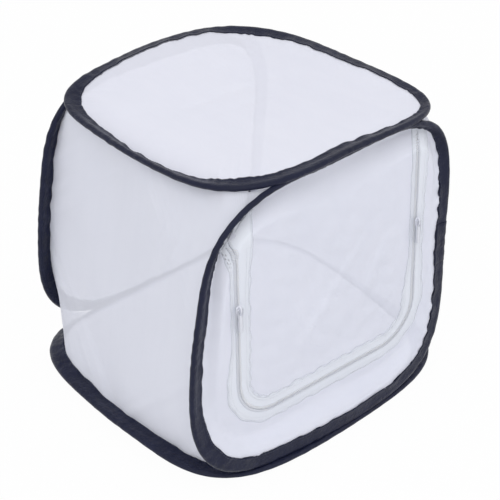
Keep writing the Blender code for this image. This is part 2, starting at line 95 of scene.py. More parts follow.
class Hoop:
    """A sprung hoop: a rounded square outline that bows out of its plane, and the band that is tilted round it.
    cx is its middle in X, a half its width, n how square its corners are, s how far it leans sideways for each
    metre of its height, w how far its sides bow, and q how much fuller one diagonal is. near, far, low and high
    are its ends."""

    def __init__(self, out, cx, a, n, s, w, q, near, far, low, high, swells, tilts, wide):
        self.out = np.array(out, float)
        self.flat = abs(self.out[2]) > .5
        self.cx, self.a, self.n, self.s, self.w, self.q = cx, a, n, s, w, q
        self.near, self.far, self.low, self.high = near, far, low, high
        first, last = (near, far) if self.flat else (low, high)
        self.h, self.mid = (last - first) / 2, (last + first) / 2
        self.swells, self.tilts, self.wide = np.array(swells) / MEAN_HALF_MM, np.radians(tilts), np.array(wide)
        self.centre = self.spot(np.zeros(1), np.zeros(1), 0)[0]
        self.t = np.linspace(0, TAU, 4001)
        self.run = run_along(self.edge(self.t))

    def radius(self, t):
        """The outline's share of the half width and height, at the angle t."""
        c, s = np.cos(t), np.sin(t)
        plain = (np.abs(c) ** self.n + np.abs(s) ** self.n) ** (-1 / self.n) * (1 + self.q * np.sin(2 * t))
        return plain * (1 + ring(self.swells, t))

    def spot(self, u, v, share):
        """The point u across and v up the hoop's plane, where it bows by a share of the most."""
        x = self.cx + u + self.s * v
        bow = self.w * share
        if self.flat:
            return np.stack([x, self.mid + v, self.low - self.out[2] * bow + 0 * u], -1)
        y = (self.near + self.far) / 2 + (self.far - self.near) / 2 * (v / self.h)
        return np.stack([x, y - self.out[1] * bow, self.mid + v], -1)

    def edge(self, t):
        r = self.radius(t)
        u, v = self.a * r * np.cos(t), self.h * r * np.sin(t)
        return self.spot(u, v, (u / self.a) ** 2)

    def axes(self, t):
        """Outer edge, direction along it, direction inwards along the band, direction out of the cage."""
        e = 1e-4
        p = self.edge(t)
        along = unit(self.edge(t + e) - self.edge(t - e))
        out = unit(self.out - (along @ self.out)[..., None] * along)
        inward = np.cross(along, out)
        inward *= np.sign(np.sum(inward * (self.centre - p), -1))[..., None]
        k = ring(self.tilts, t)[..., None]
        return p, along, inward * np.cos(k) - out * np.sin(k), out * np.cos(k) + inward * np.sin(k)

    def at(self, t, s, d):
        """A point of the band: s in from the outer edge, d out of the cage from the band's middle."""
        p, _, inward, out = self.axes(t)
        s = s[..., None] if np.ndim(s) else s
        d = d[..., None] if np.ndim(d) else d
        return p + inward * s * ring(self.wide, t)[..., None] + out * d

    def stations(self, pitch):
        """The angles of evenly spaced places round the hoop, and how far along its edge each is."""
        count = int(round(self.run[-1] / pitch))
        run = np.arange(count) * self.run[-1] / count
        return np.interp(run, self.run, self.t), run


# The last three rows of each hoop go round it from its right side, through its back or top. They say how far
# the outline swells, in millimetres, how far the band's inner lip tilts into the cage, in degrees, and the
# share of its full width that the band shows.
TOP = Hoop((0, 0, 1), .014596, .136225, 3.639, -.022, .00935, .006, -.147278, .136594, .28405, .28405,
           (-3.1, -4.3, -6.0, -3.0, -1.8, -4.2, 1.6, -3.0, -2.2, -3.0, -.8, 1.2, .2, .3, 3.0, -1.6),
           (-16, -12, 2, -14, -21, -19, 4, 21, 28, 21, -8, 3, 4, 12, 3, -20),
           (1, 1, 1, 1, 1, 1, 1, 1, .95, 1, 1, 1, 1, .88, .60, .86))
BOTTOM = Hoop((0, 0, -1), 0, .162524, 4.133, -.009, .009936, .02, -.160111, .15233, .0026, .0026,
              (.2, .1, 0, -.1, -.2, -.6, -1.0, 2.0, 2.6, .2, 2.4, 1.6, 1.4, .5, -.2, .5),
              (36, 42, 42, 44, 44, 42, 34, 13, -3, 7, 8, 4, 3, 3, 6, 18),
              (1.1,) * 16)
FRONT = Hoop((0, -1, 0), -.008955, .151202, 3.877, .079, .008, .016, -.157284, -.143284, .0056, .2805,
             (-4.8, -3.6, 1.2, .9, .7, 1.6, -4.2, -3.2, 1.8, 2.4, -1.8, -2.6, .9, 3.0, 4.0, -.9),
             (-13, -4, 42, 46, 44, 42, 32, 20, 16, 11, -12, -8, -9, -9, -12, -15),
             (1, .86, .66, .92, 1, .95, .84, 1, 1, 1, 1, 1, 1, 1, 1, 1))
BACK = Hoop((0, 1, 0), .012293, .142579, 3.666, .073, .008, .001, .151037, .134021, .0058, .2797,
            (0, 0, 0, 0, 0, .1, -1.0, -3.0, -.9, -1.2, -4.0, 0, 0, 0, 0, 0),
            (5, 0, -4, -6, -10, -18, -23, -12, -11, -8, 12, 36, 42, 42, 34, 18),
            (1,) * 16)
HOOPS = {"top": TOP, "bottom": BOTTOM, "front": FRONT, "back": BACK}


def ease(x):
    """0 to 1 as x goes from 0 to 1, level at both ends."""
    x = np.clip(x, 0, 1)
    return x * x * (3 - 2 * x)


def waves(t, seed, low, high, count=9):
    """A repeatable uneven wave round a loop, about -1 to 1, with low to high crests."""
    rng = np.random.default_rng(seed)
    total = np.zeros_like(t)
    for k, phase, size in zip(rng.integers(low, high + 1, count), rng.uniform(0, TAU, count),
                              rng.uniform(.5, 1, count)):
        total += size * np.sin(k * t + phase)
    return total / math.sqrt(count) * 1.1


def bumps(x, y, seed, low, high, count=10):
    """The same on a surface: x and y in metres, low and high in crests a metre."""
    rng = np.random.default_rng(seed)
    total = np.zeros(np.broadcast(x, y).shape)
    for k, way, phase, size in zip(rng.uniform(low, high, count), rng.uniform(0, TAU, count),
                                   rng.uniform(0, TAU, count), rng.uniform(.5, 1, count)):
        total = total + size * np.sin(TAU * k * (x * math.cos(way) + y * math.sin(way)) + phase)
    return total / math.sqrt(count)


# Materials


def srgb(*values):
    return tuple((v / 255 / 12.92 if v / 255 <= .04045 else ((v / 255 + .055) / 1.055) ** 2.4) for v in values)


def give(tree, socket, value):
    if isinstance(value, bpy.types.NodeSocket):
        tree.links.new(value, socket)
    else:
        socket.default_value = value


def add_node(tree, kind, inputs=None, **settings):
    node = tree.nodes.new(kind)
    for key, value in settings.items():
        setattr(node, key, value)
    for key, value in (inputs or {}).items():
        give(tree, node.inputs[key], value)
    return node


class Nodes:
    """A material, and short ways to add its nodes. Lengths come from each piece's UVs, in metres."""

    def __init__(self, name):
        self.material = bpy.data.materials.new(name)
        self.material.use_nodes = True
        self.tree = self.material.node_tree
        self.shader = self.tree.nodes["Principled BSDF"]

    def add(self, kind, inputs=None, **settings):
        return add_node(self.tree, kind, inputs, **settings)

    def set(self, **values):
        for key, value in values.items():
            give(self.tree, self.shader.inputs[key.replace("_", " ")], value)

    def math(self, operation, *values, clamp=False):
        node = self.add("ShaderNodeMath", dict(enumerate(values)), operation=operation, use_clamp=clamp)
        return node.outputs[0]

    def times(self, a, b, clamp=False):
        return self.math("MULTIPLY", a, b, clamp=clamp)

    def fit(self, value, times, plus):
        return self.math("MULTIPLY_ADD", value, times, plus)

    def above(self, value, start, slope):
        """0 up to start, and from there up to 1."""
        return self.times(self.math("SUBTRACT", value, start), slope, clamp=True)

    def ribs(self, length, pitch):
        """0 to 1 and back in each pitch of a length."""
        return self.fit(self.math("SINE", self.times(length, TAU / pitch)), .5, .5)

    def mix(self, share, one, two):
        one, two = (c if isinstance(c, bpy.types.NodeSocket) else tuple(c) + (1,) for c in (one, two))
        return self.add("ShaderNodeMix", {0: share, 6: one, 7: two}, data_type="RGBA").outputs[2]

    def noise(self, scale, detail=3.0, where=None):
        given = {"Scale": scale, "Detail": detail}
        if where is not None:
            given["Vector"] = where
        return self.add("ShaderNodeTexNoise", given).outputs["Fac"]

    def bump(self, height, distance, strength=1.0, under=None):
        given = {"Height": height, "Distance": distance, "Strength": strength}
        if under is not None:
            given["Normal"] = under
        return self.add("ShaderNodeBump", given).outputs[0]

    def lengths(self):
        """The lengths along and across the piece, together as a vector and then one by one."""
        uv = self.add("ShaderNodeUVMap", uv_map="length").outputs[0]
        xyz = self.add("ShaderNodeSeparateXYZ", {0: uv}).outputs
        return uv, xyz[0], xyz[1]

    def position(self):
        return self.add("ShaderNodeTexCoord").outputs["Object"]

    def stretched(self, where, scale, turn=0.0):
        return self.add("ShaderNodeMapping", {0: where, "Scale": scale, "Rotation": (0, 0, turn)}).outputs[0]

    def ridge_mask(self, start, slope):
        return self.above(self.add("ShaderNodeNewGeometry").outputs["Pointiness"], start, slope)


def satin():
    """Navy satin tape: fine ribs along the tape, a soft sheen, slight unevenness, and a painted highlight that
    makes its bead and the crests of its folds paler.
    """
    n = Nodes("navy_satin")
    uv, along, across = n.lengths()
    position = n.position()
    cloudy = n.noise(38.0, 4.0, position)
    yarn = n.times(n.ribs(across, .00062), n.fit(n.ribs(along, .00085), .45, .55))
    base = n.mix(cloudy, srgb(11, 14, 33), srgb(24, 29, 57))
    base = n.mix(n.times(yarn, .22), base, srgb(43, 50, 82))
    # Paler navy where the surface is sharply convex, on the bead's curve and the crests of folds: a painted
    # highlight
    base = n.mix(n.times(n.ridge_mask(.51, 6.0), .25), base, srgb(60, 66, 96))
    pulled = n.noise(1.0, 3.0, n.stretched(uv, (95, 240, 1), .5))
    folds = n.bump(n.fit(pulled, .8, n.noise(140.0, 3.0, position)), .0016, .75)
    fine = n.fit(n.noise(900.0, 2.0, position), .35, yarn)
    n.set(Base_Color=base, Roughness=n.fit(cloudy, .20, .27), Normal=n.bump(fine, .00012, .6, folds),
          Sheen_Weight=.03, Sheen_Roughness=.45, Sheen_Tint=srgb(150, 158, 200) + (1,), Specular_IOR_Level=.24)
    return n.material


def thread(name, dark, light):
    n = Nodes(name)
    twist = n.noise(1500.0, 2.0, n.position())
    n.set(Base_Color=n.mix(twist, dark, light), Roughness=n.fit(twist, .2, .5), Sheen_Weight=.2,
          Normal=n.bump(twist, .00015, .6))
    return n.material


def netting(name, colour, shade, alpha):
    """Fine knitted net. Its threads are a fraction of a millimetre apart, so it reads as a milky sheet."""
    n = Nodes(name)
    uv, along, across = n.lengths()
    position = n.position()
    warp, weft = (n.math("SINE", n.times(length, math.pi / NET_PITCH)) for length in (along, across))
    mesh = n.fit(n.times(warp, weft), .5, .5)
    cloudy = n.noise(9.0, 3.0, position)
    streaks = n.noise(60.0, 2.0, n.stretched(uv, (1, .12, 1)))
    base = n.mix(n.fit(streaks, .35, n.times(cloudy, .45)), colour, shade)
    base = n.mix(n.times(mesh, .05), base, shade)
    solid = n.fit(mesh, -.05, n.fit(cloudy, -.03, alpha + .04))
    soft = n.bump(n.noise(55.0, 3.0, position), .0015, .30)
    n.set(Base_Color=base, Alpha=solid, Roughness=n.fit(streaks, .15, .62), Sheen_Weight=.15,
          Normal=n.bump(mesh, .00012, .35, soft), Specular_IOR_Level=.25)
    return n.material


def zip_cloth():
    """White woven zip tape: herringbone ribs along it, sheerer towards its puckered edge."""
    n = Nodes("zip_tape_weave")
    _, along, across = n.lengths()
    rib = n.ribs(n.math("ADD", along, n.math("PINGPONG", across, .0011)), .0009)
    cloudy = n.noise(45.0, 3.0, n.position())
    sheer = n.above(n.math("MODULO", across, TAPE_BACK_UV), .0112, 400.0)
    base = n.mix(n.fit(rib, .10, n.times(cloudy, .25)), srgb(242, 246, 255), srgb(236, 241, 255))
    n.set(Base_Color=base, Alpha=n.fit(sheer, -.5, .88), Roughness=n.fit(cloudy, .15, .5), Sheen_Weight=.3,
          Normal=n.bump(rib, .00008, .4), Specular_IOR_Level=.7)
    return n.material


def moulded(name, colour, shade, rough, alpha=1.0):
    """Nylon or lacquer, a little paler on its sharp edges."""
    n = Nodes(name)
    position = n.position()
    fine = n.noise(400.0, 3.0, position)
    pale = tuple(min(1, c * 1.25 + .04) for c in colour)
    base = n.mix(n.noise(90.0, 3.0, position), colour, shade)
    # Paler where the surface is sharply convex, on its edges
    n.set(Base_Color=n.mix(n.times(n.ridge_mask(.52, 8.0), .4), base, pale), Roughness=n.fit(fine, .18, rough),
          Alpha=alpha, Normal=n.bump(fine, .00005, .5))
    return n.material


def drawn_steel():
    n = Nodes("drawn_steel")
    lines = n.noise(30.0, 2.0, n.stretched(n.lengths()[0], (1, 60, 1)))
    n.set(Base_Color=n.mix(lines, srgb(176, 178, 182), srgb(205, 207, 210)), Metallic=1.0,
          Roughness=n.fit(lines, .2, .25), Normal=n.bump(lines, .00003, .5))
    return n.material


NET_PITCH = .00075  # from one thread of the net to the next
TAPE_BACK_UV = .02  # what is added to the lengths across the zip tape on its other face
SATIN = satin()
NAVY_THREAD = thread("navy_thread", srgb(40, 45, 62), srgb(78, 84, 108))
WHITE_THREAD = thread("white_thread", srgb(214, 217, 230), srgb(245, 246, 252))
NET_TOP = netting("net_top", srgb(242, 243, 254), srgb(230, 232, 246), .86)
NET_SIDE = netting("net_side", srgb(240, 242, 253), srgb(228, 231, 244), .775)
NET_DOOR = netting("net_door", srgb(239, 241, 253), srgb(228, 231, 245), .835)
ZIP_CLOTH = zip_cloth()
COIL = moulded("zip_coil_nylon", srgb(248, 250, 255), srgb(242, 245, 255), .4, .8)
LACQUER = moulded("pale_lacquer", srgb(236, 238, 247), srgb(216, 219, 231), .32)
STEEL = drawn_steel()

# Mesh helpers


def link(name, mesh):
    thing = bpy.data.objects.new(name, mesh)
    bpy.context.scene.collection.objects.link(thing)
    return thing


def piece(name, points, faces, uvs, material, slot):
    mesh = bpy.data.meshes.new(name)
    points, uvs = np.reshape(points, (-1, 3)), np.reshape(uvs, (-1, 2))
    mesh.from_pydata([tuple(p) for p in points], [], [tuple(int(i) for i in f) for f in faces])
    layer = mesh.uv_layers.new(name="length")
    corners = np.zeros(len(mesh.loops), int)
    mesh.loops.foreach_get("vertex_index", corners)
    layer.data.foreach_set("uv", np.asarray(uvs, np.float32)[corners].ravel())
    mesh.polygons.foreach_set("use_smooth", [True] * len(mesh.polygons))
    mesh.materials.append(material)
    mesh.validate()
    mesh.update()
    thing = link(name, mesh)
    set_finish(thing, slot)
    return thing


def grid_faces(rows, cols, loop_rows=False, loop_cols=False):
    r = np.arange(rows if loop_rows else rows - 1)
    c = np.arange(cols if loop_cols else cols - 1)
    i, j = np.meshgrid(r, c, indexing="ij")
    i2, j2 = (i + 1) % rows, (j + 1) % cols
    return np.stack([i * cols + j, i2 * cols + j, i2 * cols + j2, i * cols + j2], -1).reshape(-1, 4)


def cap(first, count):
    return tuple(range(first, first + count))


def bar_faces(rings, count, base=0, order=(0, 1, 2, 3)):
    """Faces of a bar of rings, with a cap at each end. order is that of the corners of its sides' faces."""
    faces = [tuple(f + base) for f in grid_faces(rings, count, False, True)[:, order]]
    return faces + [cap(base, count)[::-1], cap(base + (rings - 1) * count, count)]


def sleeve_faces(rings, count):
    """Faces of a sleeve: an outer tube, an inner one whose points come after it, and the rims of both ends."""
    shell = grid_faces(rings, count, False, True)
    inner = rings * count
    faces = [tuple(f) for f in shell] + [tuple(f)[::-1] for f in shell + inner]
    for row in (0, rings - 1):
        for k in range(count):
            m = (k + 1) % count
            quad = (row * count + k, row * count + m, inner + row * count + m, inner + row * count + k)
            faces.append(quad if row == 0 else quad[::-1])
    return faces


def strip_uvs(along, across):
    """The lengths of a grid's points, from those along and across it."""
    return np.stack(np.broadcast_arrays(along[:, None], across), -1).reshape(-1, 2)


def press(thing, hoop_name):
    """Rides on the hoop's body, with its own copy of its mesh."""
    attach(thing, hoop_name)
    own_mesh(thing)


# Bindings: how far in from the edge and how far from the band's middle its section's points lie, outer and inner

BAND_OUTER = [(.0155, .00085), (.0142, .00105), (.0128, .00085), (.0108, .0010), (.0088, .0013), (.0070, .0018),
              (.0052, .00235), (.0039, .00258), (.0026, .0026), (.0014, .0023), (.0005, .0015), (.0, .0006)]
BAND_INNER = [(.0155, .00032), (.0120, .00032), (.0090, .0004), (.0060, .0009), (.0042, .0015), (.0026, .0018),
              (.0013, .0014), (.0007, .0005)]
SECTION = np.array(BAND_OUTER + [(s, -d) for s, d in BAND_OUTER[::-1]]
                   + [(s, -d) for s, d in BAND_INNER] + BAND_INNER[::-1])
RUFFLE_SEEDS = {"top": 11, "bottom": 23, "front": 37, "back": 41}


def ruffle(name, t, s):
    """How far the soft hem stands off its place, out of the cage and inwards, at s in from the edge."""
    seed = RUFFLE_SEEDS[name]
    hem = ease((s - .004) / .009)
    corner = np.abs(np.sin(2 * t)) ** 3
    off = .00055 * waves(t, seed, 14, 46) + corner * .00035 * waves(t, seed + 1, 90, 140)
    push = .00045 * waves(t, seed + 2, 16, 60)
    if name == "front":
        push = push + .0011 * waves(t, seed + 3, 48, 72) * ease((np.cos(t) - .55) / .3)
    bead = .00018 * waves(t, seed + 4, 30, 90)
    return off * hem + bead, push * ease((s - .009) / .006)


def band_points(name, t, s, d):
    off, push = ruffle(name, t, s)
    return HOOPS[name].at(t, s + push, d + off)


def band_rows(name, t, section):
    """A section's points, carried round the band to each angle t."""
    return np.stack([band_points(name, t, np.full_like(t, s), np.full_like(t, d)) for s, d in section], 1)


def binding(name):
    t, run = HOOPS[name].stations(.0024)
    faces, uvs = grid_faces(len(t), len(SECTION), True, True), strip_uvs(run, run_along(SECTION))
    thing = piece(name + "_satin_binding", band_rows(name, t, SECTION), faces, uvs, SATIN, "binding")
    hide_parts(name + "_binding")
    press(thing, name)


def tape_join(name, first, last):
    """Where the two ends of a hoop's tape lap over each other: one more layer round the band, cut square."""
    t = np.linspace(first, last, 15)
    over = np.array([(s + (.0005 if s > .015 else 0), d + .00045) for s, d in BAND_OUTER])
    over[-1] = (-.0006, .0004)
    closed = np.concatenate([over, over[::-1] * [1, -1]])
    under = closed * [.985, .82]
    rows = np.concatenate([band_rows(name, t, section) for section in (closed, under)])
    run = np.linspace(0, float(np.linalg.norm(np.diff(HOOPS[name].edge(t[[0, -1]]), axis=0))), len(t))
    uvs = np.tile(strip_uvs(run, np.arange(len(closed)) * .0014), (2, 1))
    faces = sleeve_faces(len(t), len(closed))
    press(piece(name + "_tape_join", rows, faces, uvs, SATIN, "binding"), name)


def stitching(name):
    """A row of short stitches along the hem, on both of its faces."""
    hoop = HOOPS[name]
    t, _ = hoop.stations(.0034)
    half, thick, row_in, lift = .00115, .00022, .01415, .00112
    speed = np.interp(t, hoop.t, np.gradient(hoop.run, hoop.t))
    points, faces, uvs = [], [], []
    for side in (1, -1):
        for at, rate in zip(t, speed):
            lo, mid, hi = at - half / rate, at, at + half / rate
            base = len(points)
            tt = np.array([lo] + [lo * .45 + mid * .55] * 4 + [hi * .45 + mid * .55] * 4 + [hi])
            ss = np.array([0, -1, 0, 1, 0, -1, 0, 1, 0, 0]) * thick + row_in
            dd = side * (np.array([-1.2, 0, 1, 0, -1, 0, 1, 0, -1, -1.2]) * .0002 + lift)
            points.extend(band_points(name, tt, ss, dd))
            uvs.extend([(v - at, 0) for v in tt])
            for k in range(4):
                m = (k + 1) % 4
                faces.append((base, base + 1 + k, base + 1 + m))
                faces.append((base + 1 + k, base + 5 + k, base + 5 + m))
                faces.append((base + 1 + k, base + 5 + m, base + 1 + m))
                faces.append((base + 9, base + 5 + m, base + 5 + k))
    press(piece(name + "_hem_stitching", points, faces, uvs, NAVY_THREAD, "binding"), name)


def tube(path, radii, sides):
    """Rings of points of a round bar along a path."""
    along = unit(np.gradient(path, axis=0))
    side = unit(np.cross(along, np.array([.13, .21, .97])))
    up = np.cross(side, along)
    a = np.arange(sides) * TAU / sides
    circle = side[:, None] * np.cos(a)[None, :, None] + up[:, None] * np.sin(a)[None, :, None]
    return path[:, None] + circle * radii[:, None, None]


def wire(name):
    """The spring wire in the binding, and the ferrule that joins its two ends at the middle of the right side."""
    hoop = HOOPS[name]
    count, sides, gap, radius = 420, 10, .001, .0009
    t = np.interp(np.linspace(gap, hoop.run[-1] - gap, count), hoop.run, hoop.t)
    path = hoop.at(t, WIRE_IN, 0.0)
    thing = piece(name + "_spring_wire", tube(path, np.full(count, radius), sides), bar_faces(count, sides),
                  strip_uvs(run_along(path), np.arange(sides) * .001), STEEL, "spring_wire")
    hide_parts(name + "_hoop_wire")
    press(thing, name)
    count, sides, half = 15, 20, .006
    reach = half / np.interp(0, hoop.t, np.gradient(hoop.run, hoop.t))
    # The ferrule's rims are rounded, and it is crimped in the middle
    outer = np.full(count, .00122)
    outer[[0, -1]] = .00108
    outer[[5, 9]] = .00116
    outer[7] = .00113
    path = hoop.at(np.linspace(-reach, reach, count), WIRE_IN, 0.0)
    shell = np.concatenate([tube(path, outer, sides), tube(path, np.full(count, radius + .00005), sides)])
    uvs = np.tile(strip_uvs(np.linspace(0, 2 * half, count), np.arange(sides) * .0004), (2, 1))
    thing = piece(name + "_crimped_ferrule", shell, sleeve_faces(count, sides), uvs, STEEL, "spring_wire")
    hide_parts(name + "_wire_ferrule")
    press(thing, name)


for hoop_name in HOOPS:
    binding(hoop_name)
    stitching(hoop_name)
    wire(hoop_name)
tape_join("front", *FRONT_JOIN)

# Flat nets


def creases(x, y, lines):
    """Soft folds in a net: each line is x1, y1, x2, y2, height and half width, in metres."""
    total = np.zeros(np.broadcast(x, y).shape)
    for x1, y1, x2, y2, height, wide in lines:
        dx, dy = x2 - x1, y2 - y1
        length = math.hypot(dx, dy)
        along = ((x - x1) * dx + (y - y1) * dy) / length
        across = ((x - x1) * dy - (y - y1) * dx) / length
        ends = ease(along / (.3 * length)) * ease((length - along) / (.3 * length))
        total = total + height * np.exp(-(across / wide) ** 2) * ends
    return total


def flat_net(name, cells, sag, material, lines=()):
    """The net of one hoop: taut between its bowed sides, with a sag or swell and soft folds."""
    hoop = HOOPS[name]
    crowd = math.pi / 2 * .8
    k = np.sin(np.linspace(-1, 1, cells + 1) * crowd) / math.sin(crowd)
    a, b = np.meshgrid(k, k, indexing="ij")
    m = np.maximum(np.abs(a), np.abs(b))
    t = np.arctan2(b, a)
    inset = .92    # the share of the outline at which the plain net ends, before it is drawn to the band's lip
    r = hoop.radius(t) * inset
    ru, rv = hoop.a * r * np.cos(t), hoop.h * r * np.sin(t)
    u, v = ru * m, rv * m
    saddle = ((u / hoop.a) ** 2 - (v / hoop.h) ** 2 + 1) / 2
    share = (1 - m ** 4) * saddle + m ** 4 * (u / hoop.a) ** 2
    place = hoop.spot(u, v, share)
    off, push = ruffle(name, t, np.full_like(t, NET_IN))
    rim = hoop.at(t, NET_IN + push, off)
    place += (rim - hoop.spot(ru, rv, (ru / hoop.a) ** 2)) * (m ** 6)[..., None]
    inner = (1 - m ** 2) ** 1.2
    soft = -sag * inner + .0007 * inner * bumps(u, v, len(name), 3, 14) + creases(u, v, lines) * (1 - m ** 8)
    place += hoop.out * soft[..., None]
    faces = grid_faces(cells + 1, cells + 1)
    thing = piece(name + "_net_panel", place, faces, np.stack([u, v], -1), material, "net")
    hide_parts(name + "_net")
    press(thing, name)


flat_net("top", 72, .0030, NET_TOP,
         ((-.075, .028, .070, .020, -.0009, .004), (-.080, .004, .060, -.008, -.0008, .004)))
flat_net("bottom", 60, -.0010, NET_SIDE)
flat_net("back", 60, .0015, NET_SIDE)

# Side nets

SIDE_N = 3.7  # how square the ends of a net's sides turn round their hoops
TIP = .97  # how much of each hoop's side the side nets follow
SIDE_HALF = (.15, .14)  # half a side net's length and height, for its unevenness and folds
SIDE_UV_HALF = (.148, .142)  # and for the lengths in its UVs


def side_net(name, sign, cells, lines=()):
    """A net between the left or right halves of the four hoops. It leaves each hoop at its binding's lip."""
    k = np.linspace(-1, 1, cells + 1)
    yy, zz = np.meshgrid(k, k, indexing="ij")
    q = np.clip(np.abs(yy) + np.abs(zz) - 1, 0, 1)

    def rim(hoop_name, w):
        """The lip of this side's half of a hoop, w from -1 to 1 along it."""
        hoop = HOOPS[hoop_name]
        c = (1 - np.abs(w) ** SIDE_N) ** (1 / SIDE_N)
        t = np.arctan2(w, sign * c)
        # Towards the corners the net's edge lies nearer the hoop's outer edge, and deeper in the cage
        tip = ease((np.abs(w) - .70) / .27)
        s = NET_IN - .0085 * tip
        d = -.0011 - .0023 * tip
        off, push = ruffle(hoop_name, t % TAU, s)
        return hoop.at(t, s + push, d + off)

    share = k * TIP
    front, back, low, high = (rim(h, share) for h in ("front", "back", "bottom", "top"))
    near_low, near_high = (front[0] + low[0]) / 2, (front[-1] + high[0]) / 2
    far_low, far_high = (back[0] + low[-1]) / 2, (back[-1] + high[-1]) / 2
    fade = ease((np.abs(k) - .6) / .4)[:, None]
    first, last = (k < 0)[:, None], (k >= 0)[:, None]

    def tipped(edge, start, end):
        return edge + fade * (first * (start - edge[0]) + last * (end - edge[-1]))

    front, back = tipped(front, near_low, near_high), tipped(back, far_low, far_high)
    low, high = tipped(low, near_low, far_low), tipped(high, near_high, far_high)
    # Outside the middle's diamond each straight line joins two neighbouring hoops, equally far along their sides.
    step = (q * cells / 2).round().astype(int)
    mid = cells // 2
    up, aside = (mid + np.sign(way).astype(int) * step for way in (zz, yy))
    post = np.where((yy < 0)[..., None], front[up], back[up])
    rail = np.where((zz < 0)[..., None], low[aside], high[aside])
    across = np.where(q < 1, (1 - np.abs(yy)) / np.maximum(1 - q, 1e-9), .5)[..., None]
    outer = post * (1 - across) + rail * across
    p, r = ((yy + zz + 1) / 2)[..., None], ((zz - yy + 1) / 2)[..., None]
    diamond = (low[mid] * (1 - p) * (1 - r) + front[mid] * (1 - p) * r
               + back[mid] * p * (1 - r) + high[mid] * p * r)
    place = np.where((q > 0)[..., None], outer, diamond)
    inner = (1 - yy ** 4) * (1 - zz ** 4) * (1 - q ** 2)
    y, z = SIDE_HALF[0] * yy, SIDE_HALF[1] * zz
    soft = .0010 * inner * bumps(y, z, 5 + sign, 3, 12) + creases(y, z, lines) * inner
    place[..., 0] += sign * (soft - .0030 * (1 - q) * (1 - yy ** 2) * (1 - zz ** 2))
    uvs = np.stack([SIDE_UV_HALF[0] * yy, SIDE_UV_HALF[1] * zz], -1)
    thing = piece(name + "_net_panel", place, grid_faces(cells + 1, cells + 1), uvs, NET_SIDE, "net")
    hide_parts(name + "_net")
    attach(thing, "bottom")
    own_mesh(thing)


side_net("left", -1, 84, ((-.095, .110, -.060, .030, .0016, .005), (-.070, .105, -.045, .060, .0012, .004)))
side_net("right", 1, 64)

# The door

ZIP_HALF = .105  # from the middle of the door to each of the zip's legs
ZIP_LOW = .060  # the height of the zip's lower stretch
ZIP_ROUND = .040  # the radius of its two corners
ZIP_TOP = .2576  # how high the net inside it reaches
NET_BACK = .0042  # the net is cut back this far from the middle of the zip
SLOPE_Z = .2  # the height above which the door slopes back to its band
LEAN = .85  # how far the zip's legs move to the side, for each metre that the door slopes back

LIP_T = np.linspace(0, TAU, 1441)
LIP_P = FRONT.at(LIP_T, LIP, 0.0)
# To which share of the way out the door is flat, at these angles in degrees
FLAT_SHARES = ((0, .79), (30, .81), (50, .85), (66, .74), (90, .66), (112, .76), (134, .88), (155, .84),
               (180, .80), (225, .80), (270, .73), (315, .80), (360, .79))


def door_polar(x, z):
    """The angle and the share of the way out to the door's outer edge."""
    v = z - FRONT.mid
    u = x - FRONT.cx - FRONT.s * v
    t = np.arctan2(v / FRONT.h, u / FRONT.a) % TAU
    return t, np.hypot(u / FRONT.a, v / FRONT.h) / FRONT.radius(t)


LIP_ANGLE, LIP_SHARE = door_polar(LIP_P[:, 0], LIP_P[:, 2])
LIP_ANGLE = np.unwrap(LIP_ANGLE)
ORDER = np.argsort(LIP_ANGLE % TAU)


def round_lip(t, values):
    """Values along the lip of the door's band, as they are at the angle t of the door."""
    return np.interp(t, (LIP_ANGLE % TAU)[ORDER], values[ORDER], period=TAU)


def door_y(x, z):
    """The relaxed door's surface: flat where the zip lies, and out to the binding beyond it."""
    t, share = door_polar(x, z)
    flat = np.interp(np.degrees(t), *zip(*FLAT_SHARES))
    lip = round_lip(t, LIP_SHARE)
    return DOOR_Y + (round_lip(t, LIP_P[:, 1]) - DOOR_Y) * ease((share - flat) / (lip - flat + .01))


LIP_ABOVE = LIP_P[LIP_P[:, 2] > SLOPE_Z]
LIP_ABOVE = LIP_ABOVE[np.argsort(LIP_ABOVE[:, 0])]


def lip_above(x):
    """How high the door's net reaches above a point, to the binding across its top."""
    return np.interp(x, LIP_ABOVE[:, 0], LIP_ABOVE[:, 2])


def door_top(x):
    """How high the net inside the zip reaches, just below the binding."""
    return np.minimum(ZIP_TOP, lip_above(x) - .004)


def lean(x0, z):
    """Where the door slopes back to its band, its threads also lean to the right."""
    x = x0
    for _ in range(4):
        x = x0 + LEAN * np.maximum(door_y(x, z) - DOOR_Y, 0) * (z > SLOPE_Z)
    return x


def leg_top(x0, below):
    """How high a leg of the zip reaches, this far below the binding's lip."""
    z = lip_above(x0)
    for _ in range(6):
        z = lip_above(lean(x0, z)) - below
    return z


def within(x, z, room):
    """A point of the door, drawn in to the binding's lip where it would lie beyond it."""
    t, share = door_polar(x, z)
    lip = round_lip(t, LIP_SHARE) - room
    k = np.minimum(1, lip / np.maximum(share, 1e-6))
    v = (z - FRONT.mid) * k
    u = (x - FRONT.cx - FRONT.s * (z - FRONT.mid)) * k
    return FRONT.cx + u + FRONT.s * v, FRONT.mid + v


DOOR_LINES = ((.045, .205, -.050, .105, .0013, .005), (.065, .190, .025, .110, .0012, .005),
              (-.060, .170, -.020, .090, .0008, .005), (.020, .095, .080, .120, .0007, .005))


def door_soft(x, z):
    """How far the door's net stands out of its plane: swells, puckers and soft folds."""
    pucker = .0004 * bumps(x, z, 77, 25, 60)
    return .0008 * bumps(x, z, 71, 4, 16) + pucker + creases(x, z, DOOR_LINES)


def held(free):
    """Share of its unevenness that the net keeps: little where it is sewn down, and all where it is free."""
    return .06 + .94 * free


